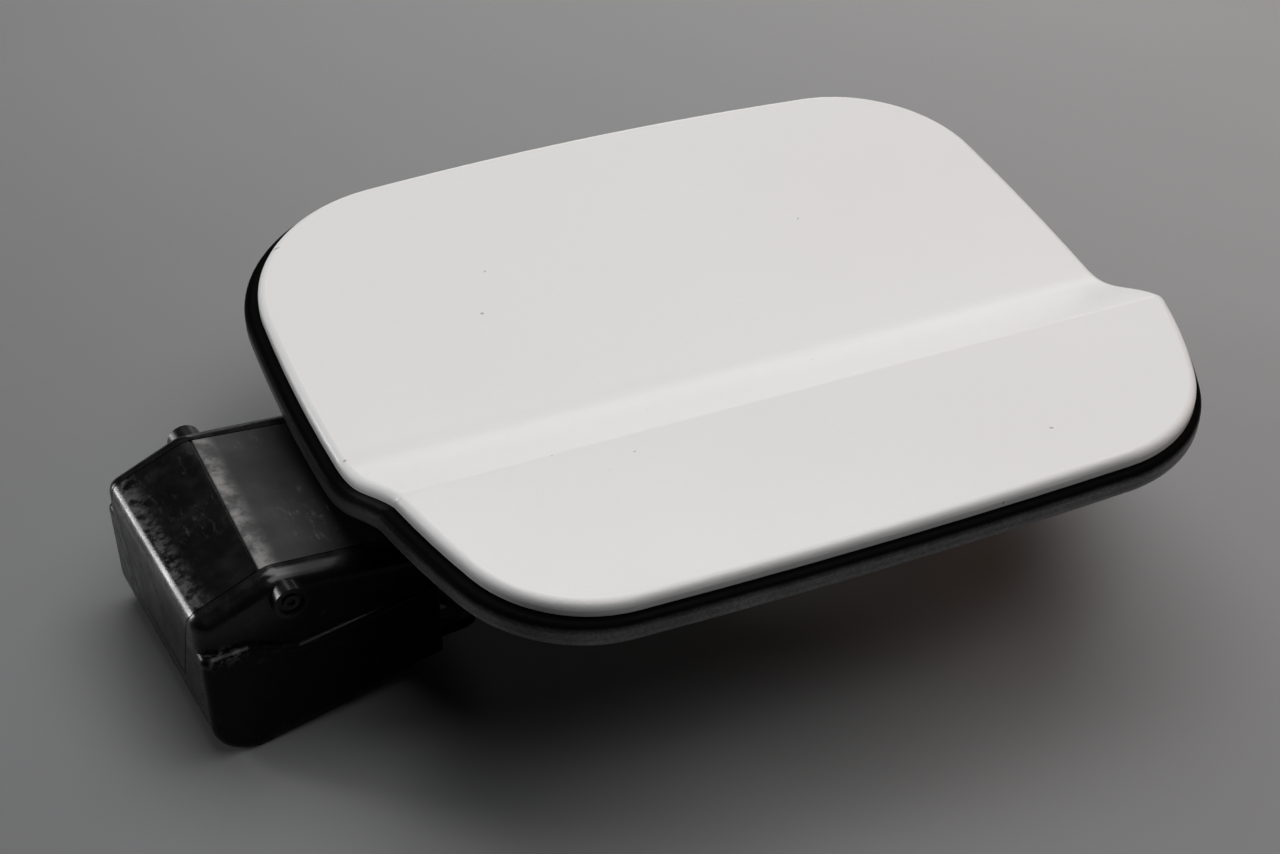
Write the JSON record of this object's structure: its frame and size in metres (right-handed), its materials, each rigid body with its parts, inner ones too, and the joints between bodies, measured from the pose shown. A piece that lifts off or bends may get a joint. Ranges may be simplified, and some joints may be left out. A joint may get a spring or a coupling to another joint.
{
  "type": "fuel door",
  "caption": "Car fuel door: creased, painted panel with a rubber rim on a ribbed carrier, swung by a gooseneck arm from a boxed hinge housing.",
  "frame": {"origin": "midway between the two screw holes of the housing's foot, on the face that seats on the car", "axes": "+X from the hinge to the free edge, +Y along the hinge pin towards the door's top edge, +Z out of the car"},
  "size_m": [0.2438, 0.19, 0.0627],
  "materials": {
    "paint": "white pearl paint, satin gloss",
    "seal_rubber": "smooth black rubber",
    "carrier_plastic": "matt black moulding",
    "arm_plastic": "satin black moulding",
    "screw_steel": "zinc-plated steel",
    "bump_rubber": "soft black rubber",
    "housing_plastic": "black moulding, semi-gloss, lightly scuffed",
    "lid_plastic": "black moulding, glossy at the end, dull and scuffed on top",
    "pin_steel": "drawn steel",
    "washer_plastic": "natural bearing plastic",
    "spring_steel": "spring wire"
  },
  "bodies": {
    "housing": {"hinge_housing": "housing_plastic", "housing_lid": "lid_plastic", "hinge_pin": "pin_steel", "hinge_washer_near": "washer_plastic", "hinge_washer_far": "washer_plastic"},
    "door": {"outer_panel": "paint", "door_seal": "seal_rubber", "inner_carrier": "carrier_plastic", "hinge_arm": "arm_plastic", "arm_screws": "screw_steel", "latch_striker": "arm_plastic", "striker_screws": "screw_steel", "bump_stop_top_left": "bump_rubber", "bump_stop_top_right": "bump_rubber", "bump_stop_front_left": "bump_rubber", "bump_stop_front_right": "bump_rubber", "hinge_spring": "spring_steel"}
  },
  "joints": [
    {"name": "door_hinge", "type": "hinge", "parent": "housing", "child": "door", "pos_m": [-0.039, 0, 0.033], "axis": [0, -1, 0], "range_deg": [0, 90]}
  ]
}
